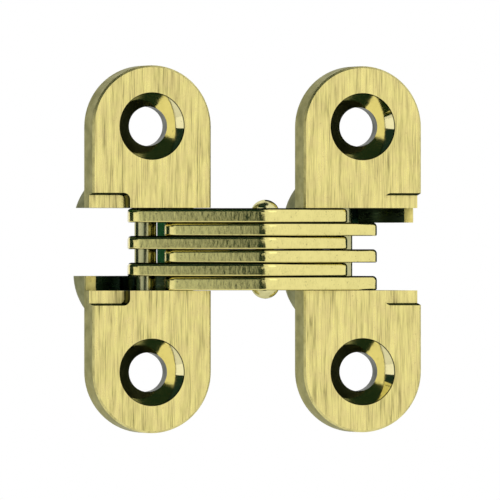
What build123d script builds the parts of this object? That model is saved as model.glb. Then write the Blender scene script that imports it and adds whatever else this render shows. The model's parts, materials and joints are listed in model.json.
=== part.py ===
from build123d import *
import os
from math import acos, atan2, cos, degrees, hypot, pi, radians, sin

# Invisible hinge, opened flat. Millimetres.
# X runs from the left leaf to the right leaf, Y runs into the wood, Z along the hinge.
# The origin is on the left leaf's face, midway between its two screw holes.

# Leaf plate
leaf_length = 38.1
leaf_width = 12.7
plate_thickness = 3.5
leaf_gap = 10.0
face_edge_break = 0.2

# Screw holes
screw_spacing = 25.5
screw_hole_diameter = 4.1
countersink_diameter = 7.0
countersink_angle = 82.0

# Barrel behind the plate
barrel_length = 17.6
barrel_inset = 0.15
barrel_depth = 13.9
inner_wall = 1.2
back_lip = 2.3

# Link stack
rows_per_set = 3
link_thickness = 1.34
link_spacing = 0.05
link_edge_bevel = 0.08
cup_end_clearance = 0.15

# Link outline, measured from the rivet centre
ridge_height = 1.9
slide_corner_reach = 13.95
slide_corner_drop = 4.0
pivot_corner_reach = 10.4
pivot_corner_drop = 2.8
link_corner_radius = 0.9
ridge_radius = 2.0
underside_radius = 1.5
underside_drop = 3.0
slide_eye_wall = 0.75
pivot_eye_wall = 0.70

# Pins and rivet
pivot_pin_diameter = 2.1
slide_pin_diameter = 2.3
rivet_diameter = 1.9
rivet_head_diameter = 2.7
rivet_head_height = 0.95
pin_clearance = 0.03
pin_seat = 0.7
pin_end_clearance = 0.06

# Where the rivet and the pins stand
rivet_forward = 2.85
closed_gap = 1.6
closed_rivet_offset = 4.1
pivot_depth = 4.0
slide_pin_x = 0.76
slide_pin_depth = 5.5

# Clearances of the moving links
slot_clearance = 0.12
notch_clearance = 0.35
sweep_clearance = 0.4
recess_clearance = 0.4
recess_depth = 1.5
recess_height = 1.55
recess_corner_radius = 0.7
recess_draft = 9.0
crest_radius = 0.6
slot_steps = 10

# The two leaves stand either side of the middle plane
mid_x = (leaf_width + leaf_gap) / 2
half_width = leaf_width / 2
outside = leaf_width

# Heights of the stack and the cup
link_count = 2 * rows_per_set
link_pitch = link_thickness + link_spacing
stack_half = (link_count * link_pitch - link_spacing) / 2
cup_half = stack_half + cup_end_clearance
wall_row_top = link_pitch - link_count * link_pitch / 2
pin_half = cup_half + pin_seat - pin_end_clearance
seat_half = cup_half + pin_seat

# Rivet open and closed, in the left leaf's own frame
rivet_x = mid_x
rivet_y = -rivet_forward
closed_x = -closed_rivet_offset
closed_y = -closed_gap / 2

# The fixed pivot is as far from the closed rivet as from the open one
rise_sum = (rivet_y - pivot_depth) ** 2 - (closed_y - pivot_depth) ** 2
pivot_x = (rivet_x ** 2 - closed_x ** 2 + rise_sum) / (2 * (rivet_x - closed_x))
pivot_radius = hypot(rivet_x - pivot_x, rivet_y - pivot_depth)
open_angle = atan2(rivet_y - pivot_depth, rivet_x - pivot_x)
closed_angle = atan2(closed_y - pivot_depth, closed_x - pivot_x)
fold_angle = open_angle - closed_angle
cross_ratio = (pi - 2 * fold_angle) / fold_angle

# Radii of the pins, eyes and bores
pivot_pin_radius = pivot_pin_diameter / 2
slide_pin_radius = slide_pin_diameter / 2
rivet_radius = rivet_diameter / 2
rivet_head_radius = rivet_head_diameter / 2
pivot_eye_radius = pivot_pin_radius + pivot_eye_wall
slide_eye_radius = slide_pin_radius + slide_eye_wall

# Link points from the rivet centre: across towards the sliding end, and down into the cup
slide_eye = (rivet_x - slide_pin_x, slide_pin_depth - rivet_y)
pivot_eye = (pivot_x - rivet_x, pivot_depth - rivet_y)
notch_place = (-pivot_eye[0], pivot_eye[1])
ridge = (0.0, -ridge_height)
slide_corner = (slide_corner_reach, slide_corner_drop)
pivot_corner = (-pivot_corner_reach, pivot_corner_drop)
underside = (0.0, underside_drop)


# Point where a line from outside meets a round eye, on the chosen side of the line to its centre
def touch_point(start, centre, radius, side):
    across = start[0] - centre[0]
    down = start[1] - centre[1]
    turn = atan2(down, across) + side * acos(radius / hypot(across, down))
    return (centre[0] + radius * cos(turn), centre[1] + radius * sin(turn))


# Where the straight edges of a link run into its two eyes
slide_touch = touch_point(slide_corner, slide_eye, slide_eye_radius, 1)
slide_inner = touch_point(notch_place, slide_eye, slide_eye_radius, -1)
pivot_under = touch_point(underside, pivot_eye, pivot_eye_radius, 1)
pivot_outer = touch_point(pivot_corner, pivot_eye, pivot_eye_radius, -1)


# Place of a slide pin in the left leaf when the links have turned by the angle given
def slide_place(turn):
    rivet_turn = open_angle - turn
    arm_turn = -turn * (1 + cross_ratio)
    across = slide_pin_x - rivet_x
    down = slide_pin_depth - rivet_y
    x = pivot_x + pivot_radius * cos(rivet_turn) + across * cos(arm_turn) - down * sin(arm_turn)
    y = pivot_depth + pivot_radius * sin(rivet_turn) + across * sin(arm_turn) + down * cos(arm_turn)
    return (x, y)


# Place of a point of the pivoted links in the left leaf when the hinge is closed
def closed_place(point):
    across = rivet_x + point[0] - pivot_x
    down = rivet_y + point[1] - pivot_depth
    x = pivot_x + across * cos(-fold_angle) - down * sin(-fold_angle)
    y = pivot_depth + across * sin(-fold_angle) + down * cos(-fold_angle)
    return (x, y)


# Room that the pivoted links sweep beside the end wall of the cup
sweep_radius = hypot(pivot_corner[0] - pivot_eye[0], pivot_corner[1] - pivot_eye[1]) + sweep_clearance
closed_ridge = closed_place(ridge)
closed_corner = closed_place(pivot_corner)
slope = (closed_corner[1] - closed_ridge[1]) / (closed_corner[0] - closed_ridge[0])
slope_outer_y = recess_depth + slope * (half_width - outside)
slope_inner_y = recess_depth + slope * (half_width + pivot_x - sweep_radius / 2)

# Barrel and cup sizes that follow
barrel_width = leaf_width - 2 * barrel_inset
barrel_axis_depth = barrel_depth - barrel_width / 2
wall_x = half_width - barrel_inset - inner_wall
closed_touch = closed_place(pivot_outer)
end_slope = (closed_corner[1] - closed_touch[1]) / (closed_corner[0] - closed_touch[0])
lip_depth = closed_touch[1] + end_slope * (wall_x - closed_touch[0]) + sweep_clearance * hypot(1.0, end_slope)
lip_x = wall_x - back_lip + inner_wall
lip_back_depth = barrel_axis_depth + inner_wall
recess_inner_x = closed_x + rivet_head_radius + recess_clearance

os.makedirs("parts", exist_ok=True)

# Left leaf: one casting, with plate, barrel, link cup, rivet recesses, slide slots and pin bores
with BuildPart() as left_leaf:
    with BuildSketch(Plane.XZ):
        SlotOverall(leaf_length, leaf_width, rotation=90)
    extrude(amount=-plate_thickness)
    chamfer(left_leaf.faces().sort_by(Axis.Y)[0].edges(), face_edge_break)
    with BuildSketch(Plane.XZ.offset(-face_edge_break)):
        SlotOverall(barrel_length, barrel_width, rotation=90)
    extrude(amount=face_edge_break - barrel_axis_depth)
    # The barrel's bottom is a half round that runs out into round ends
    with BuildSketch(Plane.XZ.offset(-barrel_axis_depth)):
        SlotOverall(barrel_length, barrel_width, rotation=90)
        with Locations((-barrel_width / 2, 0)):
            Rectangle(barrel_width, barrel_length, mode=Mode.SUBTRACT)
    revolve(axis=Axis((0, barrel_axis_depth, 0), (0, 0, 1)), revolution_arc=180)
    # The cup is open at the face, at the outer side and at the back
    with BuildSketch(Plane.XY.offset(wall_row_top)):
        with BuildLine():
            Polyline(
                (-outside, -outside),
                (outside, -outside),
                (outside, lip_depth),
                (wall_x, lip_depth),
                (wall_x, lip_back_depth),
                (lip_x, lip_back_depth),
                (lip_x, barrel_depth + outside),
                (-outside, barrel_depth + outside),
                close=True,
            )
        make_face()
    extrude(amount=cup_half - wall_row_top, mode=Mode.SUBTRACT)
    # The last row leaves room only for the link that pivots there
    with BuildSketch(Plane.XY.offset(wall_row_top)):
        with BuildLine():
            Polyline(
                (-outside, -outside),
                (outside, -outside),
                (pivot_x, pivot_depth),
                (pivot_x - sweep_radius / 2, slope_inner_y),
                (-outside, slope_outer_y),
                close=True,
            )
        make_face()
        with Locations((pivot_x, pivot_depth)):
            Circle(sweep_radius)
    extrude(amount=-cup_half - wall_row_top, mode=Mode.SUBTRACT)
    # The outer crest of the last row is rounded off
    crest = Vector(-half_width, recess_depth, (wall_row_top - cup_half) / 2)
    fillet(left_leaf.edges().filter_by(Axis.Z).sort_by_distance(crest)[0], crest_radius)
    # Stepped recesses at the cup's outer corners take the rivet heads when the hinge is shut
    with BuildSketch(Plane.XZ):
        with Locations(((recess_inner_x - outside) / 2, 0)):
            RectangleRounded(
                recess_inner_x + outside,
                2 * (cup_half + recess_height),
                recess_corner_radius,
            )
    extrude(amount=-recess_depth, taper=recess_draft, mode=Mode.SUBTRACT)
    # Slots in both end walls guide the slide pin
    with BuildSketch(Plane.XY):
        for step in range(slot_steps):
            start = slide_place(fold_angle * step / slot_steps)
            end = slide_place(fold_angle * (step + 1) / slot_steps)
            run = (end[0] - start[0], end[1] - start[1])
            with Locations(((start[0] + end[0]) / 2, (start[1] + end[1]) / 2)):
                SlotCenterToCenter(
                    hypot(*run),
                    2 * (slide_pin_radius + slot_clearance),
                    rotation=degrees(atan2(run[1], run[0])),
                )
    extrude(amount=seat_half, both=True, mode=Mode.SUBTRACT)
    # Bores for the fixed pivot pin
    with BuildSketch(Plane.XY):
        with Locations((pivot_x, pivot_depth)):
            Circle(pivot_pin_radius + pin_clearance)
    extrude(amount=seat_half, both=True, mode=Mode.SUBTRACT)
    # Countersunk screw holes
    with Locations(Plane.XZ):
        with GridLocations(0, screw_spacing, 1, 2):
            CounterSinkHole(
                screw_hole_diameter / 2,
                countersink_diameter / 2,
                depth=plate_thickness,
                counter_sink_angle=countersink_angle,
            )
left_leaf.part.label = "left_leaf"
export_step(left_leaf.part, "parts/left_leaf.step")

# Right leaf: the same casting, turned half round about the middle of the gap
with BuildPart() as right_leaf:
    with Locations((2 * mid_x, 0, 0)):
        add(left_leaf.part, rotation=(0, 180, 0))
right_leaf.part.label = "right_leaf"
export_step(right_leaf.part, "parts/right_leaf.step")

# Six links: odd rows slide in the left leaf and pivot in the right one, even rows the other way
outline = (
    ridge,
    slide_corner,
    slide_touch,
    slide_eye,
    slide_inner,
    notch_place,
    underside,
    pivot_under,
    pivot_eye,
    pivot_outer,
    pivot_corner,
)
rounded_corners = {
    slide_corner: link_corner_radius,
    pivot_corner: link_corner_radius,
    ridge: ridge_radius,
    underside: underside_radius,
}
notch_start = degrees(atan2(notch_place[1], notch_place[0]))
notch_sweep = degrees(2 * fold_angle - pi) + degrees(pivot_pin_diameter / pivot_radius)
notch_arc = CenterArc((0, 0), pivot_radius, notch_start, notch_sweep)
for row in range(1, link_count + 1):
    facing = -1 if row % 2 else 1
    floor_z = stack_half - row * link_pitch + link_spacing
    link_plane = Plane((rivet_x, rivet_y, floor_z), x_dir=(facing, 0, 0), z_dir=(0, 0, facing))
    with BuildPart() as link:
        with BuildSketch(link_plane) as link_sketch:
            with BuildLine():
                Polyline(*outline, close=True)
            make_face()
            for point, radius in rounded_corners.items():
                corner = link_sketch.sketch_local.vertices().sort_by_distance(point)[0]
                fillet(corner, radius)
            with Locations(slide_eye):
                Circle(slide_eye_radius)
            with Locations(pivot_eye):
                Circle(pivot_eye_radius)
            # Curved notch that passes over the other set's fixed pin
            SlotArc(notch_arc, 2 * (pivot_pin_radius + notch_clearance), mode=Mode.SUBTRACT)
            Circle(rivet_radius + pin_clearance, mode=Mode.SUBTRACT)
            with Locations(slide_eye):
                Circle(slide_pin_radius + pin_clearance, mode=Mode.SUBTRACT)
            with Locations(pivot_eye):
                Circle(pivot_pin_radius + pin_clearance, mode=Mode.SUBTRACT)
        extrude(amount=facing * link_thickness)
        rims = link.faces().filter_by(Axis.Z)
        chamfer([edge for face in rims for edge in face.outer_wire().edges()], link_edge_bevel)
    link.part.label = f"link_{row}"
    export_step(link.part, f"parts/link_{row}.step")

# Centre rivet: a shank through all six links, with a domed head at each end
head_seat = stack_half + pin_clearance
head_top = head_seat + rivet_head_height
dome_radius = (rivet_head_radius ** 2 + rivet_head_height ** 2) / (2 * rivet_head_height)
dome_lean = radians(45) * rivet_head_height / rivet_head_radius
dome_shoulder = (dome_radius * sin(dome_lean), head_top - dome_radius * (1 - cos(dome_lean)))
with BuildPart() as centre_rivet:
    with BuildSketch(Plane((rivet_x, rivet_y, 0), x_dir=(1, 0, 0), z_dir=(0, -1, 0))):
        with BuildLine():
            Polyline((0, 0), (rivet_radius, 0), (rivet_radius, head_seat), (rivet_head_radius, head_seat))
            ThreePointArc((rivet_head_radius, head_seat), dome_shoulder, (0, head_top))
            Line((0, head_top), (0, 0))
        make_face()
    revolve(axis=Axis((rivet_x, rivet_y, 0), (0, 0, 1)))
    mirror(about=Plane.XY)
centre_rivet.part.label = "centre_rivet"
export_step(centre_rivet.part, "parts/centre_rivet.step")

# Plain cross pins: a fixed pivot pin and a slide pin in each leaf
pins = {
    "left_pivot_pin": (pivot_x, pivot_depth, pivot_pin_radius),
    "right_pivot_pin": (2 * mid_x - pivot_x, pivot_depth, pivot_pin_radius),
    "left_slide_pin": (slide_pin_x, slide_pin_depth, slide_pin_radius),
    "right_slide_pin": (2 * mid_x - slide_pin_x, slide_pin_depth, slide_pin_radius),
}
for name, (pin_x, pin_y, pin_radius) in pins.items():
    with BuildPart() as pin:
        with BuildSketch(Plane.XY):
            with Locations((pin_x, pin_y)):
                Circle(pin_radius)
        extrude(amount=pin_half, both=True)
        chamfer(pin.edges().filter_by(GeomType.CIRCLE), link_edge_bevel)
    pin.part.label = name
    export_step(pin.part, f"parts/{name}.step")
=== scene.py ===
"""Looks of a brass invisible hinge, opened flat: brushed leaves, polished links, rivet and pins."""
import json
import logging
import math
from dataclasses import dataclass
from enum import Enum

import bpy
import numpy as np
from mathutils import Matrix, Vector
from mathutils.geometry import delaunay_2d_cdt


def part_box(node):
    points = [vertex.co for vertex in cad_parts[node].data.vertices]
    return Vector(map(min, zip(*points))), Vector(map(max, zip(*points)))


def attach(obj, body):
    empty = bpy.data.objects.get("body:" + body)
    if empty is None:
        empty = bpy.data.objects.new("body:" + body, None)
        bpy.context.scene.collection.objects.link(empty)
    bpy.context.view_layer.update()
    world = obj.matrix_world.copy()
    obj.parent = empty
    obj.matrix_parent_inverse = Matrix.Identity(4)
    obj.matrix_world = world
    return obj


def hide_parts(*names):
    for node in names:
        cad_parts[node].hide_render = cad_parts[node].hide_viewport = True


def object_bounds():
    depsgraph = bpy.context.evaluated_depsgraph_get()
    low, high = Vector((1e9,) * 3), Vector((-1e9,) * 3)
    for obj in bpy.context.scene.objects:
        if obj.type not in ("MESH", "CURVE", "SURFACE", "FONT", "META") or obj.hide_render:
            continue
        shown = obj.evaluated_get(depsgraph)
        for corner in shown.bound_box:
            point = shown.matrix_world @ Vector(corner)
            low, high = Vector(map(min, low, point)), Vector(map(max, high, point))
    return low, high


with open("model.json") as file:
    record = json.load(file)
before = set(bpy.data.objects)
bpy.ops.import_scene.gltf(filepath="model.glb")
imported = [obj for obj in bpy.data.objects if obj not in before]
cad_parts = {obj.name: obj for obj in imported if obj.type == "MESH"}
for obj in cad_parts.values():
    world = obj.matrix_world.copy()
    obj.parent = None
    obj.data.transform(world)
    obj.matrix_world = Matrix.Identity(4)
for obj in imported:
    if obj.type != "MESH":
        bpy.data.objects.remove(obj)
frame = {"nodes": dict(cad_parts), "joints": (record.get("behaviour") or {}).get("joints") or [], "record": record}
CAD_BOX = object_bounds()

LOG = logging.getLogger("hinge")
MM = 0.001
SMOOTH_ANGLE = math.radians(28.0)
WELD_DIGITS = 8
LINK_ROWS = 6
CAP_MERGE = 1e-7
INSIDE_ONLY = 1
WHITE = (1.0, 1.0, 1.0, 1.0)

Colour = tuple[float, float, float]


class Leaf(Enum):
    """The two leaves; each value is the name of the leaf's node and body."""

    LEFT = "left_leaf"
    RIGHT = "right_leaf"


class LinkSet(Enum):
    """The two sets of links; each value is the name of the set's body."""

    ODD = "odd_links"
    EVEN = "even_links"

    @property
    def facing(self) -> int:
        """Side that the sliding ends point to along X."""
        return -1 if self is LinkSet.ODD else 1


class Region(Enum):
    """Surfaces of a leaf that have a material of their own, some with painted shade and one with a painted
    highlight; each value is a material slot.
    """

    FACE = 0
    EDGE = 1
    WALL = 2
    SINK = 3
    BARREL = 4
    CUP = 5
    BORE = 6
    STEP = 7
    GROOVE = 8
    CREST = 9


class MixSocket(Enum):
    """Numbers of the colour sockets of a mix node."""

    SHARE = 0
    FIRST = 6
    SECOND = 7
    RESULT = 2


class NodeSheet:
    """Places nodes in one node tree and joins their sockets."""

    def __init__(self, tree: bpy.types.NodeTree) -> None:
        """Keep the tree that the nodes go into."""
        self.tree = tree

    def place(self, kind: str, inputs: dict | None = None, **settings) -> bpy.types.Node:
        """Add one node.

        Args:
            kind: Blender's name for the kind of node.
            inputs: values, or sockets of other nodes, for the node's inputs by name or number.
            settings: properties of the node itself.

        Returns:
            The new node.
        """
        node = self.tree.nodes.new(kind)
        for name, value in settings.items():
            setattr(node, name, value)
        for name, value in (inputs or {}).items():
            self.feed(node, name, value)
        return node

    def feed(self, node: bpy.types.Node, name: str | int, value) -> None:
        """Set one input of a node, or link it where the value is a socket."""
        if isinstance(value, bpy.types.NodeSocket):
            self.tree.links.new(value, node.inputs[name])
        else:
            node.inputs[name].default_value = value

    def math(self, operation: str, first, second) -> bpy.types.NodeSocket:
        """Combine two numbers and return the result's socket."""
        return self.place("ShaderNodeMath", {0: first, 1: second}, operation=operation).outputs[0]

    def spread(self, value, low: float, high: float, start=0.0, end=1.0) -> bpy.types.NodeSocket:
        """Stretch the range low to high of a number over start to end, and cut off the rest."""
        limits = {"From Min": low, "From Max": high, "To Min": start, "To Max": end}
        return self.place("ShaderNodeMapRange", {"Value": value, **limits}).outputs[0]

    def blend(self, share, first, second) -> bpy.types.NodeSocket:
        """Mix two colours by a share from 0 to 1 and return the colour's socket."""
        node = self.place("ShaderNodeMix", data_type="RGBA")
        self.feed(node, MixSocket.SHARE.value, share)
        self.feed(node, MixSocket.FIRST.value, first)
        self.feed(node, MixSocket.SECOND.value, second)
        return node.outputs[MixSocket.RESULT.value]

    def stretch(self, vector, factors) -> bpy.types.NodeSocket:
        """Multiply a vector by factors along its axes and return the result's socket."""
        return self.place("ShaderNodeVectorMath", {0: vector, 1: factors}, operation="MULTIPLY").outputs[0]

    def noise(self, vector, scale, detail: float, roughness: float) -> bpy.types.NodeSocket:
        """Place a noise pattern and return its grey value."""
        values = {"Vector": vector, "Scale": scale, "Detail": detail, "Roughness": roughness}
        return self.place("ShaderNodeTexNoise", values).outputs[0]


def new_group(name: str, inputs: dict[str, str], outputs: tuple[str, ...]) -> tuple:
    """Start a shader node group with named sockets.

    Args:
        name: the group's name.
        inputs: socket type of each input by name.
        outputs: names of the outputs, which are all numbers.

    Returns:
        The group's sheet, its input node and its output node.
    """
    tree = bpy.data.node_groups.new(name, "ShaderNodeTree")
    for label, kind in inputs.items():
        tree.interface.new_socket(name=label, in_out="INPUT", socket_type=kind)
    for label in outputs:
        tree.interface.new_socket(name=label, in_out="OUTPUT", socket_type="NodeSocketFloat")
    sheet = NodeSheet(tree)
    return sheet, sheet.place("NodeGroupInput"), sheet.place("NodeGroupOutput")


BROAD_STRETCH = (0.22, 0.22, 0.55)
LINE_LIMITS = (0.40, 0.66)
TONE_LIMITS = (0.36, 0.66)
RELIEF_SCALE = 0.5
TONE_RELIEF = 0.6


def brushed_lines_group() -> bpy.types.NodeTree:
    """Long fine lines left by a brush: noise stretched along one axis, in a fine and a broad layer.

    Returns:
        A group with a line mask, a broad tone mask and a height.
    """
    inputs = {"Vector": "NodeSocketVector", "Pitch": "NodeSocketVector"}
    sheet, start, end = new_group("brushed_lines", inputs, ("Lines", "Tone", "Height"))
    fine = sheet.stretch(start.outputs["Vector"], start.outputs["Pitch"])
    broad = sheet.stretch(fine, BROAD_STRETCH)
    lines = sheet.noise(fine, scale=1.0, detail=5.0, roughness=0.62)
    tone = sheet.noise(broad, scale=1.0, detail=3.0, roughness=0.55)
    relief = sheet.noise(fine, scale=RELIEF_SCALE, detail=1.0, roughness=0.5)
    sheet.feed(end, "Lines", sheet.spread(lines, *LINE_LIMITS))
    sheet.feed(end, "Tone", sheet.spread(tone, *TONE_LIMITS))
    sheet.feed(end, "Height", sheet.math("ADD", relief, sheet.math("MULTIPLY", tone, TONE_RELIEF)))
    return sheet.tree


PATCH_SHARE = 0.18
PIT_LIMITS = (0.62, 0.70)
PATCH_LIMITS = (0.48, 0.60)
STAIN_LIMITS = (0.38, 0.68)


def specks_group() -> bpy.types.NodeTree:
    """Small dark pits and short scratches: the peaks of a fine noise, gathered in patches.

    Returns:
        A group with a speck mask and a cloudy stain mask.
    """
    inputs = {"Vector": "NodeSocketVector", "Size": "NodeSocketFloat"}
    sheet, start, end = new_group("specks_and_stains", inputs, ("Specks", "Stains"))
    place = start.outputs["Vector"]
    count = sheet.math("DIVIDE", 1.0, start.outputs["Size"])
    patch_count = sheet.math("MULTIPLY", count, PATCH_SHARE)
    pits = sheet.noise(place, scale=count, detail=2.0, roughness=0.5)
    patches = sheet.noise(place, scale=patch_count, detail=4.0, roughness=0.5)
    peaks = sheet.spread(pits, *PIT_LIMITS)
    where = sheet.spread(patches, *PATCH_LIMITS)
    sheet.feed(end, "Specks", sheet.math("MULTIPLY", peaks, where))
    sheet.feed(end, "Stains", sheet.spread(patches, *STAIN_LIMITS))
    return sheet.tree


@dataclass(frozen=True)
class DepthBand:
    """A colour, used here as painted shade, for the part of a surface that lies outside a range of depths behind
    the faces.
    """

    low: float
    high: float
    soft: float
    colour: Colour

    def tint(self, sheet: NodeSheet, place, colour) -> bpy.types.NodeSocket:
        """Blend the band's colour over another one.

        Args:
            sheet: the material's nodes.
            place: socket of the object coordinates.
            colour: socket of the colour to keep inside the range.

        Returns:
            The blended colour's socket.
        """
        depth = sheet.place("ShaderNodeSeparateXYZ", {0: place}).outputs[1]
        above = sheet.spread(depth, self.low - self.soft, self.low, 1.0, 0.0)
        below = sheet.spread(depth, self.high, self.high + self.soft)
        return sheet.blend(sheet.math("MAXIMUM", above, below), colour, (*self.colour, 1.0))


@dataclass(frozen=True)
class BrassFinish:
    """One finish of the brass; some copies are darker to paint shade and one is paler to paint a highlight.
    Lengths are metres and colours are linear.

    The brush runs along the axis with the longest pitch.
    """

    name: str
    bright: Colour
    shade: Colour
    stain: Colour
    speck: Colour
    roughness: float
    roughness_gain: float
    pitch: tuple[float, float, float]
    line_share: float
    stain_share: float
    speck_size: float
    speck_share: float
    line_depth: float
    graze: Colour = (1.0, 1.0, 1.0)
    band: DepthBand | None = None

    def make(self, brush: bpy.types.NodeTree, specks: bpy.types.NodeTree) -> bpy.types.Material:
        """Build the material.

        Args:
            brush: the group of brushed lines.
            specks: the group of specks and stains.

        Returns:
            The finished material.
        """
        material = bpy.data.materials.new(self.name)
        material.use_nodes = True
        sheet = NodeSheet(material.node_tree)
        sheet.tree.nodes.clear()
        place = sheet.place("ShaderNodeTexCoord").outputs["Object"]
        lines = sheet.place("ShaderNodeGroup", node_tree=brush)
        sheet.feed(lines, "Vector", place)
        sheet.feed(lines, "Pitch", tuple(1.0 / step for step in self.pitch))
        dirt = sheet.place("ShaderNodeGroup", node_tree=specks)
        sheet.feed(dirt, "Vector", place)
        sheet.feed(dirt, "Size", self.speck_size)
        line_mask = sheet.math("MULTIPLY", lines.outputs["Lines"], lines.outputs["Tone"])
        line_mask = sheet.math("MULTIPLY", line_mask, self.line_share)
        stain_mask = sheet.math("MULTIPLY", dirt.outputs["Stains"], self.stain_share)
        speck_mask = sheet.math("MULTIPLY", dirt.outputs["Specks"], self.speck_share)
        colour = sheet.blend(line_mask, (*self.bright, 1.0), (*self.shade, 1.0))
        colour = sheet.blend(stain_mask, colour, (*self.stain, 1.0))
        colour = sheet.blend(speck_mask, colour, (*self.speck, 1.0))
        if self.band:
            colour = self.band.tint(sheet, place, colour)
        roughest = self.roughness + self.roughness_gain
        rough = sheet.spread(lines.outputs["Tone"], 0.0, 1.0, self.roughness, roughest)
        bump = sheet.place("ShaderNodeBump", {"Distance": self.line_depth, "Strength": 1.0})
        sheet.feed(bump, "Height", lines.outputs["Height"])
        shader = sheet.place("ShaderNodeBsdfPrincipled", {"Metallic": 1.0})
        sheet.feed(shader, "Base Color", colour)
        sheet.feed(shader, "Specular Tint", (*self.graze, 1.0))
        sheet.feed(shader, "Roughness", rough)
        sheet.feed(shader, "Normal", bump.outputs[0])
        output = sheet.place("ShaderNodeOutputMaterial")
        sheet.feed(output, "Surface", shader.outputs[0])
        return material


OLIVE_GRAZE: Colour = (0.74, 0.74, 0.62)
# Grazing tint that keeps the painted shade of the cup and grooves dark at grazing angles.
DARK_GRAZE: Colour = (0.26, 0.32, 0.26)
NO_DEPTH = 1.0
FACE_FINISH = BrassFinish(
    name="brushed_face", bright=(0.86, 0.76, 0.28), shade=(0.15, 0.13, 0.04), stain=(0.70, 0.56, 0.25),
    speck=(0.30, 0.24, 0.08), roughness=0.26, roughness_gain=0.10, pitch=(0.13 * MM, 0.13 * MM, 3.4 * MM),
    line_share=1.0, stain_share=0.40, speck_size=0.25 * MM, speck_share=0.30, line_depth=0.012 * MM,
)
EDGE_FINISH = BrassFinish(
    name="worn_edge", bright=(0.88, 0.80, 0.34), shade=(0.30, 0.26, 0.10), stain=(0.62, 0.54, 0.20),
    speck=(0.10, 0.09, 0.04), roughness=0.42, roughness_gain=0.12, pitch=(0.4 * MM, 0.4 * MM, 0.7 * MM),
    line_share=0.60, stain_share=0.5, speck_size=0.22 * MM, speck_share=0.7, line_depth=0.012 * MM,
)
# A rough blasted finish, with a paler base colour than the rest of the brass that paints a highlight on the crest.
CREST_HIGHLIGHT_FINISH = BrassFinish(
    name="blasted_crest_painted_highlight", bright=(0.95, 0.87, 0.40), shade=(0.80, 0.72, 0.32), stain=(0.88, 0.80, 0.36),
    speck=(0.30, 0.27, 0.12), roughness=0.85, roughness_gain=0.10, pitch=(0.4 * MM, 0.4 * MM, 0.4 * MM),
    line_share=0.4, stain_share=0.3, speck_size=0.22 * MM, speck_share=0.4, line_depth=0.008 * MM,
)
# As-cast roughness, with a darker olive colour that paints the shade of the side walls.
WALL_SHADE_FINISH = BrassFinish(
    name="cast_wall_painted_shade", bright=(0.38, 0.35, 0.13), shade=(0.20, 0.20, 0.075), stain=(0.27, 0.26, 0.10),
    speck=(0.07, 0.07, 0.03), roughness=0.34, roughness_gain=0.12, pitch=(0.5 * MM, 0.5 * MM, 0.6 * MM),
    line_share=0.5, stain_share=0.5, speck_size=0.2 * MM, speck_share=0.5, line_depth=0.015 * MM,
    graze=OLIVE_GRAZE,
)
# As-cast roughness, with a dark olive colour that paints the shade of the barrel behind the plate.
BARREL_SHADE_FINISH = BrassFinish(
    name="cast_barrel_painted_shade", bright=(0.24, 0.24, 0.10), shade=(0.11, 0.12, 0.055), stain=(0.16, 0.17, 0.075),
    speck=(0.05, 0.05, 0.025), roughness=0.38, roughness_gain=0.14, pitch=(0.6 * MM, 0.6 * MM, 0.6 * MM),
    line_share=0.6, stain_share=0.6, speck_size=0.2 * MM, speck_share=0.5, line_depth=0.02 * MM,
    graze=OLIVE_GRAZE,
)
SINK_FINISH_AND_RIM_SHADE = BrassFinish(
    name="polished_sink_painted_rim_shade", bright=(0.89, 0.82, 0.44), shade=(0.70, 0.63, 0.32), stain=(0.81, 0.74, 0.39),
    speck=(0.20, 0.18, 0.08), roughness=0.05, roughness_gain=0.03, pitch=(0.5 * MM, 0.5 * MM, 0.5 * MM),
    line_share=0.3, stain_share=0.3, speck_size=0.2 * MM, speck_share=0.3, line_depth=0.002 * MM,
    # The band paints shade as a dark line round the countersink's rim.
    band=DepthBand(low=0.12 * MM, high=NO_DEPTH, soft=0.05 * MM, colour=(0.06, 0.06, 0.03)),
)
# Painted shade: a near-black copy of the brass for the walls of the screw holes.
BORE_SHADE_FINISH = BrassFinish(
    name="drilled_bore_painted_shade", bright=(0.07, 0.08, 0.05), shade=(0.04, 0.05, 0.03), stain=(0.055, 0.065, 0.04),
    speck=(0.05, 0.05, 0.03), roughness=0.35, roughness_gain=0.1, pitch=(0.6 * MM, 0.2 * MM, 0.6 * MM),
    line_share=0.5, stain_share=0.4, speck_size=0.2 * MM, speck_share=0.3, line_depth=0.004 * MM,
)
# Painted shade: a green-black copy of the brass for the inside of the cup, where shade falls round the links.
CUP_SHADE_FINISH = BrassFinish(
    name="cup_painted_shade", bright=(0.078, 0.128, 0.096), shade=(0.030, 0.054, 0.042), stain=(0.054, 0.090, 0.068),
    speck=(0.12, 0.12, 0.06), roughness=0.22, roughness_gain=0.15, pitch=(0.8 * MM, 0.8 * MM, 0.25 * MM),
    line_share=0.8, stain_share=0.5, speck_size=0.25 * MM, speck_share=0.3, line_depth=0.01 * MM,
    graze=DARK_GRAZE,
)
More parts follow.
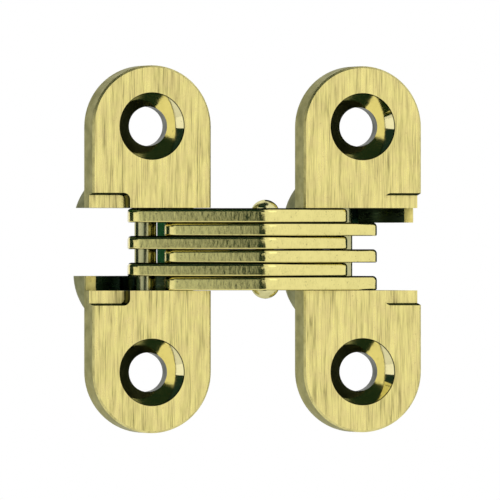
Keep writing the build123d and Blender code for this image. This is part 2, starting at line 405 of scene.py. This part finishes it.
# Painted shade: a dark olive copy of the brass for the walls of the recesses; its band darkens them further next
# to the face and next to the recess floor.
STEP_SHADE_FINISH = BrassFinish(
    name="step_painted_shade", bright=(0.30, 0.28, 0.11), shade=(0.14, 0.14, 0.06), stain=(0.20, 0.19, 0.08),
    speck=(0.02, 0.025, 0.014), roughness=0.30, roughness_gain=0.15, pitch=(0.5 * MM, 0.5 * MM, 0.3 * MM),
    line_share=0.7, stain_share=0.5, speck_size=0.25 * MM, speck_share=0.4, line_depth=0.01 * MM,
    graze=OLIVE_GRAZE,
    band=DepthBand(low=0.65 * MM, high=0.95 * MM, soft=0.35 * MM, colour=(0.02, 0.025, 0.014)),
)
LINK_FINISH = BrassFinish(
    name="polished_link", bright=(0.83, 0.74, 0.28), shade=(0.52, 0.46, 0.17), stain=(0.68, 0.60, 0.22),
    speck=(0.14, 0.12, 0.05), roughness=0.12, roughness_gain=0.08, pitch=(0.19 * MM, 0.19 * MM, 0.36 * MM),
    line_share=0.40, stain_share=0.35, speck_size=0.20 * MM, speck_share=0.6, line_depth=0.015 * MM,
)
# Painted shade: a near-black copy of the brass for the recess walls that face up or down and for the links' rolled
# rims, where shade falls between parts.
GROOVE_SHADE_FINISH = BrassFinish(
    name="groove_painted_shade", bright=(0.03, 0.034, 0.018), shade=(0.01, 0.014, 0.009), stain=(0.018, 0.022, 0.012),
    speck=(0.20, 0.18, 0.08), roughness=0.35, roughness_gain=0.15, pitch=(0.9 * MM, 0.9 * MM, 0.3 * MM),
    line_share=0.7, stain_share=0.5, speck_size=0.25 * MM, speck_share=0.5, line_depth=0.01 * MM,
    graze=DARK_GRAZE,
)
PIN_FINISH = BrassFinish(
    name="dark_pin", bright=(0.52, 0.50, 0.27), shade=(0.30, 0.30, 0.15), stain=(0.40, 0.39, 0.20),
    speck=(0.06, 0.06, 0.03), roughness=0.16, roughness_gain=0.08, pitch=(0.3 * MM, 0.3 * MM, 2.0 * MM),
    line_share=0.5, stain_share=0.4, speck_size=0.18 * MM, speck_share=0.4, line_depth=0.004 * MM,
    graze=OLIVE_GRAZE,
)
RIVET_FINISH = BrassFinish(
    name="domed_rivet", bright=(0.82, 0.77, 0.38), shade=(0.44, 0.41, 0.18), stain=(0.60, 0.56, 0.26),
    speck=(0.12, 0.11, 0.05), roughness=0.14, roughness_gain=0.08, pitch=(0.4 * MM, 0.4 * MM, 0.4 * MM),
    line_share=0.6, stain_share=0.5, speck_size=0.18 * MM, speck_share=0.5, line_depth=0.008 * MM,
    graze=OLIVE_GRAZE,
)


def mesh_object(name: str, points: np.ndarray, faces: list) -> bpy.types.Object:
    """Make a mesh object at the origin, smooth apart from its sharp corners.

    Args:
        name: the piece's name.
        points: its vertices, one row each, in metres.
        faces: lists of vertex numbers.

    Returns:
        The new object, linked to the scene.
    """
    mesh = bpy.data.meshes.new(name)
    mesh.from_pydata(points.tolist(), [], faces)
    mesh.validate()
    mesh.shade_smooth()
    mesh.set_sharp_from_angle(angle=SMOOTH_ANGLE)
    piece = bpy.data.objects.new(name, mesh)
    bpy.context.scene.collection.objects.link(piece)
    return piece


def ring_quads(rows: int, columns: int) -> np.ndarray:
    """Vertex numbers of the quads of a grid whose columns run round and close.

    Args:
        rows: number of rings.
        columns: points in each ring.

    Returns:
        One row of four vertex numbers for each quad.
    """
    number = np.arange(rows * columns).reshape(rows, columns)
    after = np.roll(number, -1, axis=1)
    return np.stack([number[:-1], after[:-1], after[1:], number[1:]], axis=-1).reshape(-1, 4)


def arc(centre, radius: float, start: float, end: float, count: int) -> np.ndarray:
    """Points along a circle from one angle to another, in radians."""
    turn = np.linspace(start, end, count)
    return np.asarray(centre) + radius * np.column_stack([np.cos(turn), np.sin(turn)])


def rounded_corner(before, corner, after, radius: float, count: int) -> np.ndarray:
    """Arc that rounds a corner between two straight edges.

    The arc's centre lies on the corner's bisector, at the radius over the sine of half the corner's angle.

    Args:
        before: a point on the edge that comes in.
        corner: the sharp corner.
        after: a point on the edge that goes out.
        radius: radius of the rounding.
        count: number of points.

    Returns:
        Points from the first edge to the second.
    """
    corner = np.asarray(corner)
    inward = np.asarray(before) - corner
    outward = np.asarray(after) - corner
    inward = inward / np.linalg.norm(inward)
    outward = outward / np.linalg.norm(outward)
    half = np.arccos(np.clip(inward @ outward, -1.0, 1.0)) / 2
    bisector = (inward + outward) / np.linalg.norm(inward + outward)
    centre = corner + bisector * radius / np.sin(half)
    first = corner + inward * radius / np.tan(half) - centre
    last = corner + outward * radius / np.tan(half) - centre
    start = np.arctan2(first[1], first[0])
    sweep = np.arctan2(first[0] * last[1] - first[1] * last[0], first @ last)
    return arc(centre, radius, start, start + sweep, count)


def eye_arc(start, centre, after, radius: float, side: int, count: int) -> np.ndarray:
    """Arc of a round eye between the two straight edges that touch it.

    Args:
        start: a point on the edge that comes in.
        centre: the eye's centre.
        after: a point on the edge that goes out.
        radius: the eye's outer radius.
        side: 1 if the arc turns with growing angle, or -1.
        count: number of points.

    Returns:
        Points along the eye from one edge to the other.
    """
    ends = []
    for point, lean in ((start, side), (after, -side)):
        away = np.asarray(point) - np.asarray(centre)
        ends.append(np.arctan2(away[1], away[0]) + lean * np.arccos(radius / np.hypot(*away)))
    sweep = side * ((side * (ends[1] - ends[0])) % (2 * np.pi))
    return arc(centre, radius, ends[0], ends[0] + sweep, count)


def lathe(name: str, centre: tuple[float, float], profile: np.ndarray, segments: int) -> bpy.types.Object:
    """Turn a profile about an upright axis, and close both ends at a pole.

    A point at radius r and height z of the profile becomes a ring (r cos t, r sin t, z) about the axis.

    Args:
        name: the piece's name.
        centre: the axis's place in X and Y.
        profile: radius and height of each ring, from the bottom up; the first and last have no radius.
        segments: points in each ring.

    Returns:
        The new object.
    """
    turn = np.linspace(0.0, 2 * np.pi, segments, endpoint=False)
    rings = profile[1:-1]
    grid_x = centre[0] + rings[:, :1] * np.cos(turn)
    grid_y = centre[1] + rings[:, :1] * np.sin(turn)
    grid_z = np.repeat(rings[:, 1:], segments, axis=1)
    body = np.stack([grid_x, grid_y, grid_z], axis=-1).reshape(-1, 3)
    poles = np.array([[*centre, profile[0, 1]], [*centre, profile[-1, 1]]])
    first = np.arange(segments)
    last = first + (len(rings) - 1) * segments
    low_pole = np.full(segments, len(body))
    bottom = np.column_stack([low_pole, np.roll(first, -1), first])
    top = np.column_stack([low_pole + 1, last, np.roll(last, -1)])
    faces = ring_quads(len(rings), segments).tolist() + bottom.tolist() + top.tolist()
    return mesh_object(name, np.vstack([body, poles]), faces)


def joint_place(name: str) -> np.ndarray:
    """Place of a joint's axis in X and Y."""
    return np.array(next(joint for joint in frame["joints"] if joint["name"] == name)["pos_m"][:2])


def mount_dims(name: str) -> dict:
    """Dimensions that the record states for a mount."""
    return next(mount for mount in frame["record"]["mounts"] if mount["name"] == name)["dims"]


@dataclass
class LeafCasting:
    """One leaf: the casting's own form, welded, with a finish for each kind of surface, painted shade on its walls
    and hollows and a painted highlight on the crest.
    """

    leaf: Leaf
    sink_radius: float = 3.5 * MM
    sink_depth: float = 1.7 * MM
    plate_thickness: float = 3.5 * MM
    recess_depth: float = 1.5 * MM
    recess_end: float = 6.2 * MM
    edge_break: float = 0.2 * MM
    cup_half: float = 4.31 * MM
    cup_reach: float = 5.75 * MM
    barrel_axis: float = 7.7 * MM
    crest_depth: float = 3.0 * MM
    crest_start: float = 5.25 * MM
    flat_limit: float = 0.97
    edge_limit: float = 0.3
    slack: float = 0.03 * MM

    def build(self) -> bpy.types.Object:
        """Copy the node's mesh and merge its loose triangles.

        Returns:
            The leaf as a new object with closed faces.
        """
        source = frame["nodes"][self.leaf.value].data
        points = np.empty(len(source.vertices) * 3)
        source.vertices.foreach_get("co", points)
        corners = np.empty(len(source.loops), dtype=int)
        source.loops.foreach_get("vertex_index", corners)
        welded, number = np.unique(points.reshape(-1, 3).round(WELD_DIGITS), axis=0, return_inverse=True)
        triangles = number.reshape(-1)[corners].reshape(-1, 3)
        after = np.roll(triangles, -1, axis=1)
        whole = (triangles != after).all(axis=1)
        return mesh_object(f"{self.leaf.value}_casting", welded, triangles[whole].tolist())

    def regions(self, mesh: bpy.types.Mesh) -> np.ndarray:
        """Tell which surface each face belongs to, from its middle and its normal.

        Args:
            mesh: the welded leaf.

        Returns:
            The material slot of each face.
        """
        middle = np.empty(len(mesh.polygons) * 3)
        normal = np.empty(len(mesh.polygons) * 3)
        mesh.polygons.foreach_get("center", middle)
        mesh.polygons.foreach_get("normal", normal)
        middle = middle.reshape(-1, 3)
        normal = normal.reshape(-1, 3)
        forward = -normal[:, 1]
        low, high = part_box(self.leaf.value)
        screws = mount_dims("left_screws")
        hole_height = screws["spacing_y_mm"] / 2 * MM
        hole_radius = screws["hole_r_mm"] * MM
        from_hole = np.hypot(middle[:, 0] - (low.x + high.x) / 2, np.abs(middle[:, 2]) - hole_height)
        depth = middle[:, 1]
        aside = np.abs(middle[:, 0] - (low.x + high.x) / 2)
        in_stack = np.abs(middle[:, 2]) < self.cup_half
        # Walls, and the barrel behind the plate, get darker olive copies of the brass as painted shade.
        found = np.full(len(mesh.polygons), Region.WALL.value)
        found[depth > self.plate_thickness + self.slack] = Region.BARREL.value
        # The walls of the recesses get painted shade.
        in_recess = (np.abs(middle[:, 2]) < self.recess_end) & (aside < (high.x - low.x) / 2 - self.slack)
        in_recess &= (depth < self.recess_depth) & (forward < self.flat_limit)
        found[in_recess] = Region.STEP.value
        # Recess walls that face up or down get the groove's painted shade.
        found[in_recess & (np.abs(normal[:, 2]) > np.abs(normal[:, 0]))] = Region.GROOVE.value
        found[(depth < self.recess_depth + self.slack) & (forward > self.flat_limit)] = Region.FACE.value
        on_edge = (depth < self.edge_break) & (forward > self.edge_limit) & (forward < self.flat_limit)
        found[on_edge] = Region.EDGE.value
        in_sink = (from_hole < self.sink_radius) & (depth < self.sink_depth)
        found[in_sink & (forward < self.flat_limit)] = Region.SINK.value
        # The walls of the screw holes get painted shade.
        found[from_hole < hole_radius + self.slack] = Region.BORE.value
        # The inside of the cup gets painted shade.
        from_axis = np.hypot(aside, np.maximum(depth - self.barrel_axis, 0.0))
        inside = (from_axis < self.cup_reach) | (np.abs(normal[:, 2]) > self.flat_limit)
        found[in_stack & (depth > self.recess_depth + self.slack) & inside] = Region.CUP.value
        # The crest gets the pale rough finish with its painted highlight.
        on_crest = in_stack & (depth > self.recess_depth + self.slack) & (depth < self.crest_depth)
        on_crest &= (aside > self.crest_start) & (forward > self.edge_limit)
        found[on_crest] = Region.CREST.value
        return found

    def dress(self, piece: bpy.types.Object, finishes: dict[Region, bpy.types.Material]) -> None:
        """Give each surface its finish, with painted shade and a painted highlight where the regions call for
        them, and let the piece ride on its body.

        Args:
            piece: the welded leaf.
            finishes: the material of each kind of surface.
        """
        for region in Region:
            piece.data.materials.append(finishes[region])
        piece.data.polygons.foreach_set("material_index", self.regions(piece.data).astype(np.int32))
        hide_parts(self.leaf.value)
        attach(piece, self.leaf.value)


@dataclass
class LinkBlank:
    """A flat link blanked from sheet, with its upper rim rolled over and its lower rim nearly square.

    The outline's points run across from the rivet towards the sliding end, and down into the cup.
    """

    ridge_height: float = 1.9 * MM
    ridge_radius: float = 2.8 * MM
    slide_corner: tuple[float, float] = (14.40 * MM, 4.19 * MM)
    pivot_corner: tuple[float, float] = (-10.95 * MM, 3.05 * MM)
    corner_radius: float = 1.5 * MM
    underside_drop: float = 3.0 * MM
    underside_radius: float = 1.5 * MM
    slide_wall: float = 0.75 * MM
    pivot_wall: float = 0.70 * MM
    notch_clearance: float = 0.35 * MM
    bore_clearance: float = 0.03 * MM
    rivet_radius: float = 0.95 * MM
    rim_roll: float = 0.45 * MM
    rim_under: float = 0.17 * MM
    # Inset beyond which the rolled rims get painted shade.
    rim_shade_inset: float = 0.07 * MM
    row_spread: float = 0.023 * MM
    end_spread: float = 0.11 * MM
    arc_points: int = 15
    bore_points: int = 36
    roll_points: int = 10

    def outline(self) -> tuple[np.ndarray, list]:
        """Work out the closed outline and the bores.

        Returns:
            The outline's points in order, and a list of bore centres with their radii.
        """
        rivet = joint_place("link_cross")
        pivot = joint_place("left_pivot") - rivet
        low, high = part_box("left_slide_pin")
        pin_radius = (high.x - low.x) / 2
        pivot_low, pivot_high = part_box("left_pivot_pin")
        pivot_pin_radius = (pivot_high.x - pivot_low.x) / 2
        slide = np.array([rivet[0] - (low.x + high.x) / 2, (low.y + high.y) / 2 - rivet[1]])
        notch = np.array([-pivot[0], pivot[1]])
        ridge = np.array([0.0, -self.ridge_height])
        underside = np.array([0.0, self.underside_drop])
        count = self.arc_points
        notch_lean = np.arctan2(notch[1], notch[0])
        runs = [
            rounded_corner(self.pivot_corner, ridge, self.slide_corner, self.ridge_radius, count),
            rounded_corner(ridge, self.slide_corner, slide, self.corner_radius, count),
            eye_arc(self.slide_corner, slide, notch, pin_radius + self.slide_wall, 1, count),
            arc(notch, pivot_pin_radius + self.notch_clearance, notch_lean, notch_lean - np.pi, count),
            rounded_corner(notch, underside, pivot, self.underside_radius, count),
            eye_arc(underside, pivot, self.pivot_corner, pivot_pin_radius + self.pivot_wall, 1, count),
            rounded_corner(pivot, self.pivot_corner, ridge, self.corner_radius, count),
        ]
        bores = [
            (np.zeros(2), self.rivet_radius + self.bore_clearance),
            (slide, pin_radius + self.bore_clearance),
            (pivot, pivot_pin_radius + self.bore_clearance),
        ]
        return np.vstack(runs), bores

    def inset(self, outline: np.ndarray, amount: np.ndarray) -> np.ndarray:
        """Move an outline inwards by several amounts, along the mean of its edges' normals.

        Args:
            outline: closed outline that turns with growing angle.
            amount: how far to move it, for each ring.

        Returns:
            One outline for each amount.
        """
        ahead = np.roll(outline, -1, axis=0) - outline
        ahead = ahead / np.linalg.norm(ahead, axis=1, keepdims=True)
        inward = np.column_stack([-ahead[:, 1], ahead[:, 0]])
        mean = inward + np.roll(inward, 1, axis=0)
        mean = mean / np.linalg.norm(mean, axis=1, keepdims=True)
        return outline[None] + amount[:, None, None] * mean[None]

    def rim_profile(self, thickness: float) -> np.ndarray:
        """Inset and height of each ring of the edge, from the lower rim to the rolled upper one."""
        turn = np.linspace(0.0, np.pi / 2, self.roll_points)
        quarter = np.column_stack([1 - np.cos(turn), np.sin(turn) - 1])
        upper = quarter * self.rim_roll + [0.0, thickness]
        lower = quarter[::-1] * [self.rim_under, -self.rim_under]
        return np.vstack([lower, upper])

    def heights(self, row: int) -> tuple[float, float]:
        """Bottom and top of a row, spread a little so that the rows and the cup's ends close up.

        Args:
            row: the row, counted from the top.

        Returns:
            The heights of the lower and the upper side.
        """
        low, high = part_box(f"link_{row}")
        below = self.end_spread if row == LINK_ROWS else self.row_spread
        above = self.end_spread if row == 1 else self.row_spread
        return low.z - below, high.z + above

    def caps(self, ring: np.ndarray, bores: np.ndarray) -> np.ndarray:
        """Fill the flat face between an outline and its bores with triangles.

        Args:
            ring: the outline's points.
            bores: the bores' points, one block for each bore.

        Returns:
            Vertex numbers of the triangles, counted through the ring and then the bores.
        """
        loops = [ring, *bores]
        starts = np.cumsum([0] + [len(loop) for loop in loops])
        numbers = [np.arange(len(loop)) + start for loop, start in zip(loops, starts)]
        steps = [np.column_stack([number, np.roll(number, -1)]) for number in numbers]
        flat = np.vstack(loops) / MM
        filled = delaunay_2d_cdt(flat.tolist(), np.vstack(steps).tolist(), [], INSIDE_ONLY, CAP_MERGE)
        triangles = np.array(filled[2])
        middle = flat[triangles].mean(axis=1)
        keep = np.ones(len(triangles), dtype=bool)
        for bore in bores:
            centre = bore.mean(axis=0) / MM
            radius = np.linalg.norm(bore[0] / MM - centre)
            keep &= np.linalg.norm(middle - centre, axis=1) > radius
        return triangles[keep]

    def build(self, row: int, links: LinkSet) -> bpy.types.Object:
        """Make the link of one row: a profile carried round the outline, two caps and three bores.

        Args:
            row: the row, counted from the top.
            links: the set that the row belongs to.

        Returns:
            The new object.
        """
        node = f"link_{row}"
        bottom, top = self.heights(row)
        thickness = top - bottom
        outline, bores = self.outline()
        profile = self.rim_profile(thickness)
        rings = self.inset(outline, profile[:, 0])
        columns = len(outline)
        heights = np.repeat(profile[:, 1:], columns, axis=1)
        wall = np.concatenate([rings, heights[..., None]], axis=-1).reshape(-1, 3)
        circles = np.array([arc(c, r, 0.0, 2 * np.pi, self.bore_points + 1)[:-1] for c, r in bores])
        bore_flat = circles.reshape(-1, 2)
        bore_low = np.column_stack([bore_flat, np.zeros(len(bore_flat))])
        bore_high = bore_low + [0.0, 0.0, thickness]
        faces = ring_quads(len(profile), columns).tolist()
        bore_start = len(wall)
        offsets = bore_start + np.arange(len(bores)) * self.bore_points
        step = np.arange(self.bore_points)
        after = np.roll(step, -1)
        rise = len(bore_flat)
        for offset in offsets:
            quads = np.column_stack([after, step, step + rise, after + rise]) + offset
            faces += quads.tolist()
        for ring_number, bore_shift, flip in ((0, 0, True), (len(profile) - 1, rise, False)):
            triangles = self.caps(rings[ring_number], circles)
            ring_shift = ring_number * columns
            hole_shift = bore_start + bore_shift - columns
            numbers = triangles + np.where(triangles < columns, ring_shift, hole_shift)
            faces += (numbers[:, ::-1] if flip else numbers).tolist()
        points = np.vstack([wall, bore_low, bore_high])
        if links.facing < 0:
            faces = [face[::-1] for face in faces]
        rivet = joint_place("link_cross")
        placed = points * [links.facing, 1.0, 1.0] + [rivet[0], rivet[1], bottom]
        return mesh_object(f"{node}_blank", placed, faces)

    def dress(
        self, piece: bpy.types.Object, row: int, links: LinkSet, finishes: list[bpy.types.Material]
    ) -> None:
        """Give a link its finish, with painted shade in the rolled rims, and let it ride with its set.

        Args:
            piece: the link.
            row: the row, counted from the top.
            links: the set that the row belongs to.
            finishes: the material of the brass and the one that paints shade on the rims.
        """
        for finish in finishes:
            piece.data.materials.append(finish)
        bottom, top = self.heights(row)
        rim = self.rim_profile(top - bottom)[:, 0]
        # Rings of the rims inset beyond that get painted shade: the dark lines between the rows.
        shaded_rings = np.minimum(rim[:-1], rim[1:]) > self.rim_shade_inset
        columns = len(self.outline()[0])
        slots = np.zeros(len(piece.data.polygons), dtype=np.int32)
        slots[:len(shaded_rings) * columns] = np.repeat(shaded_rings, columns)
        piece.data.polygons.foreach_set("material_index", slots)
        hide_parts(f"link_{row}")
        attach(piece, links.value)


@dataclass
class CentreRivet:
    """The rivet through all six links: a plain shank with a domed head at each end."""

    shank_radius: float = 0.95 * MM
    head_height: float = 0.95 * MM
    rim_height: float = 0.14 * MM
    seat_gap: float = 0.005 * MM
    dome_points: int = 18
    segments: int = 64

    def build(self) -> bpy.types.Object:
        """Turn the rivet: each head is a part of a sphere on a short upright rim.

        Returns:
            The new object.
        """
        low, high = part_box("centre_rivet")
        radius = (high.x - low.x) / 2
        dome_height = self.head_height - self.rim_height
        sphere = (radius ** 2 + dome_height ** 2) / (2 * dome_height)
        lean = np.linspace(np.arcsin(radius / sphere), 0.0, self.dome_points)
        dome = np.column_stack([sphere * np.sin(lean), high.z - sphere * (1 - np.cos(lean))])
        seat = LinkBlank().heights(1)[1] + self.seat_gap
        upper = np.vstack([[self.shank_radius, seat], [radius, seat], dome])
        lower = (upper * [1.0, -1.0])[::-1]
        profile = np.vstack([lower, upper])
        return lathe("centre_rivet_turned", tuple(joint_place("link_cross")), profile, self.segments)

    def dress(self, piece: bpy.types.Object, finish: bpy.types.Material) -> None:
        """Give the rivet its finish and let it ride with the links that carry it."""
        piece.data.materials.append(finish)
        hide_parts("centre_rivet")
        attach(piece, LinkSet.EVEN.value)


@dataclass
class CrossPin:
    """A plain cross pin with bevelled ends, in the place of its node."""

    node: str
    body: str
    bevel: float = 0.08 * MM
    segments: int = 48

    def build(self) -> bpy.types.Object:
        """Turn the pin between the ends of its node.

        Returns:
            The new object.
        """
        low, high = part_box(self.node)
        radius = (high.x - low.x) / 2
        profile = np.array([
            [0.0, low.z],
            [radius - self.bevel, low.z],
            [radius, low.z + self.bevel],
            [radius, high.z - self.bevel],
            [radius - self.bevel, high.z],
            [0.0, high.z],
        ])
        centre = ((low.x + high.x) / 2, (low.y + high.y) / 2)
        return lathe(f"{self.node}_turned", centre, profile, self.segments)

    def dress(self, piece: bpy.types.Object, finish: bpy.types.Material) -> None:
        """Give the pin its finish and let it ride with the piece that holds it."""
        piece.data.materials.append(finish)
        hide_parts(self.node)
        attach(piece, self.body)


@dataclass(frozen=True)
class Flag:
    """A dark card that the polished brass mirrors: a patch of a sphere round the hinge, in degrees."""

    name: str
    azimuth: tuple[float, float]
    elevation: tuple[float, float]
    colour: Colour


GREEN_BLACK: Colour = (0.012, 0.029, 0.024)
FLAGS = (
    Flag("lens_left_flag", (-29.5, -16.0), (-35.0, 22.0), GREEN_BLACK),
    Flag("lens_right_flag", (-16.0, -3.0), (-35.0, 3.0), GREEN_BLACK),
    Flag("lens_top_flag", (-16.0, -3.0), (11.0, 24.0), GREEN_BLACK),
    Flag("dim_front_flag", (-35.0, -29.5), (-35.0, 24.0), (0.36, 0.39, 0.41)),
    Flag("grey_front_flag", (-44.0, -35.0), (-35.0, 24.0), (0.58, 0.62, 0.63)),
    Flag("pale_front_flag", (-58.0, -44.0), (-35.0, 24.0), (0.85, 0.88, 0.88)),
    Flag("left_flag", (-140.0, -94.0), (-12.0, 6.0), GREEN_BLACK),
    Flag("upper_left_flag", (-150.0, -58.0), (6.0, 70.0), GREEN_BLACK),
    Flag("upper_front_flag", (-58.0, -3.0), (24.0, 70.0), GREEN_BLACK),
    Flag("right_back_flag", (108.0, 165.0), (-20.0, 55.0), GREEN_BLACK),
    Flag("top_flag", (-180.0, 180.0), (70.0, 90.0), GREEN_BLACK),
)


@dataclass(frozen=True)
class Lamp:
    """A soft rectangular lamp that faces the hinge. Sizes are metres, and the glow is what a mirror shows."""

    name: str
    place: tuple[float, float, float]
    size: tuple[float, float]
    glow: float


LAMPS = (
    Lamp("key", place=(0.45, -0.65, 0.35), size=(0.5, 0.5), glow=0.5),
)


@dataclass
class Studio:
    """Camera, soft light, pale floor and the dark cards round the hinge."""

    azimuth: float = -15.5
    distance: float = 1.2
    target: tuple[float, float, float] = (11.07 * MM, 2.0 * MM, -0.08 * MM)
    pixels_per_mm: float = 9.62
    image_pixels: int = 500
    sensor: float = 36.0
    floor_drop: float = 180.0 * MM
    floor_radius: float = 0.55
    floor_thickness: float = 1.0 * MM
    floor_segments: int = 96
    floor_colour: Colour = (0.86, 0.86, 0.85)
    floor_mottle: Colour = (0.82, 0.82, 0.81)
    floor_roughness: float = 0.8
    mottle_scale: float = 40.0
    flag_radius: float = 1.1
    patch_points: int = 25
    world_fill: float = 0.95

    def camera(self) -> None:
        """Place the camera level with the hinge, to its left, at a lens length that gives the scale."""
        data = bpy.data.cameras.new("camera")
        data.sensor_width = self.sensor
        data.lens = self.sensor * self.distance / (self.image_pixels / self.pixels_per_mm * MM)
        camera = bpy.data.objects.new("camera", data)
        turn = math.radians(self.azimuth)
        back = Vector((math.sin(turn), -math.cos(turn), 0.0))
        camera.location = Vector(self.target) + back * self.distance
        camera.rotation_mode = "QUATERNION"
        camera.rotation_quaternion = (-back).to_track_quat("-Z", "Y")
        bpy.context.scene.collection.objects.link(camera)
        bpy.context.scene.camera = camera

    def world(self) -> None:
        """White for what the camera and the metal see, and a dimmer even fill for the floor."""
        world = bpy.data.worlds.new("studio")
        bpy.context.scene.world = world
        world.use_nodes = True
        sheet = NodeSheet(world.node_tree)
        sheet.tree.nodes.clear()
        rays = sheet.place("ShaderNodeLightPath").outputs
        seen = sheet.math("MAXIMUM", rays["Is Camera Ray"], rays["Is Glossy Ray"])
        seen = sheet.math("MAXIMUM", seen, rays["Is Transmission Ray"])
        fill = sheet.place("ShaderNodeBackground", {"Color": WHITE, "Strength": self.world_fill})
        backdrop = sheet.place("ShaderNodeBackground", {"Color": WHITE, "Strength": 1.0})
        mixed = sheet.place("ShaderNodeMixShader", {0: seen, 1: fill.outputs[0], 2: backdrop.outputs[0]})
        sheet.place("ShaderNodeOutputWorld", {"Surface": mixed.outputs[0]})

    def lamp(self, light: Lamp) -> None:
        """Place one soft lamp; its power is its glow times pi times its area."""
        data = bpy.data.lights.new(light.name, "AREA")
        data.shape = "RECTANGLE"
        data.size, data.size_y = light.size
        data.energy = light.glow * math.pi * light.size[0] * light.size[1]
        lamp = bpy.data.objects.new(light.name, data)
        lamp.location = light.place
        lamp.rotation_mode = "QUATERNION"
        lamp.rotation_quaternion = (Vector(self.target) - lamp.location).to_track_quat("-Z", "Y")
        lamp.visible_camera = False
        bpy.context.scene.collection.objects.link(lamp)

    def floor(self) -> None:
        """A pale round floor below the hinge, with a faint mottle."""
        low, _ = CAD_BOX
        centre = (self.target[0], self.target[1])
        top = low.z - self.floor_drop
        bottom = top - self.floor_thickness
        rim = self.floor_radius
        profile = np.array([[0.0, bottom], [rim, bottom], [rim, top], [0.0, top]])
        piece = lathe("floor", centre, profile, self.floor_segments)
        material = bpy.data.materials.new("pale_floor")
        material.use_nodes = True
        sheet = NodeSheet(material.node_tree)
        sheet.tree.nodes.clear()
        place = sheet.place("ShaderNodeTexCoord").outputs["Object"]
        mottle = sheet.noise(place, scale=self.mottle_scale, detail=3.0, roughness=0.5)
        tone = sheet.blend(mottle, (*self.floor_colour, 1.0), (*self.floor_mottle, 1.0))
        looks = {"Roughness": self.floor_roughness, "Base Color": tone}
        shader = sheet.place("ShaderNodeBsdfPrincipled", looks)
        sheet.place("ShaderNodeOutputMaterial", {"Surface": shader.outputs[0]})
        piece.data.materials.append(material)

    def flag(self, card: Flag) -> None:
        """Make one dark card from a grid of azimuth and elevation, seen only in the metal.

        A point is the card's radius times (sin a cos e, -cos a cos e, sin e) from the target.
        """
        around = np.radians(np.linspace(*card.azimuth, self.patch_points))
        rise = np.radians(np.linspace(*card.elevation, self.patch_points))
        a, e = np.meshgrid(around, rise)
        grid = np.stack([np.sin(a) * np.cos(e), -np.cos(a) * np.cos(e), np.sin(e)], axis=-1)
        points = grid.reshape(-1, 3) * self.flag_radius + np.array(self.target)
        number = np.arange(len(points)).reshape(a.shape)
        quads = np.stack([number[:-1, :-1], number[1:, :-1], number[1:, 1:], number[:-1, 1:]], axis=-1)
        piece = mesh_object(card.name, points, quads.reshape(-1, 4).tolist())
        material = bpy.data.materials.new(card.name)
        material.use_nodes = True
        sheet = NodeSheet(material.node_tree)
        sheet.tree.nodes.clear()
        glow = sheet.place("ShaderNodeEmission", {"Color": (*card.colour, 1.0), "Strength": 1.0})
        sheet.place("ShaderNodeOutputMaterial", {"Surface": glow.outputs[0]})
        piece.data.materials.append(material)
        piece.visible_camera = False
        piece.visible_diffuse = False
        piece.visible_shadow = False
        piece.visible_transmission = False

    def build(self) -> None:
        """Set the view transform and make everything in the studio."""
        bpy.context.scene.view_settings.view_transform = "Standard"
        self.camera()
        self.world()
        self.floor()
        for light in LAMPS:
            self.lamp(light)
        for card in FLAGS:
            self.flag(card)


def main() -> None:
    """Build and dress the hinge, piece by piece, in its studio."""
    logging.basicConfig(level=logging.INFO, format="%(message)s")
    brush = brushed_lines_group()
    specks = specks_group()
    leaf_finishes_and_shades = {
        Region.FACE: FACE_FINISH.make(brush, specks),
        Region.EDGE: EDGE_FINISH.make(brush, specks),
        Region.WALL: WALL_SHADE_FINISH.make(brush, specks),
        Region.SINK: SINK_FINISH_AND_RIM_SHADE.make(brush, specks),
        Region.BARREL: BARREL_SHADE_FINISH.make(brush, specks),
        Region.CUP: CUP_SHADE_FINISH.make(brush, specks),
        Region.BORE: BORE_SHADE_FINISH.make(brush, specks),
        Region.STEP: STEP_SHADE_FINISH.make(brush, specks),
        Region.GROOVE: GROOVE_SHADE_FINISH.make(brush, specks),
        Region.CREST: CREST_HIGHLIGHT_FINISH.make(brush, specks),
    }
    # The links' second material is the painted shade of the grooves, for their rolled rims.
    link_finish_and_shade = [LINK_FINISH.make(brush, specks), leaf_finishes_and_shades[Region.GROOVE]]
    pin_finish = PIN_FINISH.make(brush, specks)
    for leaf in Leaf:
        casting = LeafCasting(leaf)
        piece = casting.build()
        casting.dress(piece, leaf_finishes_and_shades)
        LOG.info("%s: %d faces", piece.name, len(piece.data.polygons))
    blank = LinkBlank()
    for row in range(1, LINK_ROWS + 1):
        links = LinkSet.ODD if row % 2 else LinkSet.EVEN
        piece = blank.build(row, links)
        blank.dress(piece, row, links, link_finish_and_shade)
        LOG.info("%s: %d faces", piece.name, len(piece.data.polygons))
    rivet = CentreRivet()
    piece = rivet.build()
    rivet.dress(piece, RIVET_FINISH.make(brush, specks))
    LOG.info("%s: %d faces", piece.name, len(piece.data.polygons))
    for node, body in (
        ("left_pivot_pin", Leaf.LEFT.value),
        ("right_pivot_pin", Leaf.RIGHT.value),
        ("left_slide_pin", LinkSet.ODD.value),
        ("right_slide_pin", LinkSet.EVEN.value),
    ):
        pin = CrossPin(node, body)
        piece = pin.build()
        pin.dress(piece, pin_finish)
        LOG.info("%s: %d faces", piece.name, len(piece.data.polygons))
    Studio().build()


if __name__ == "__main__":
    main()
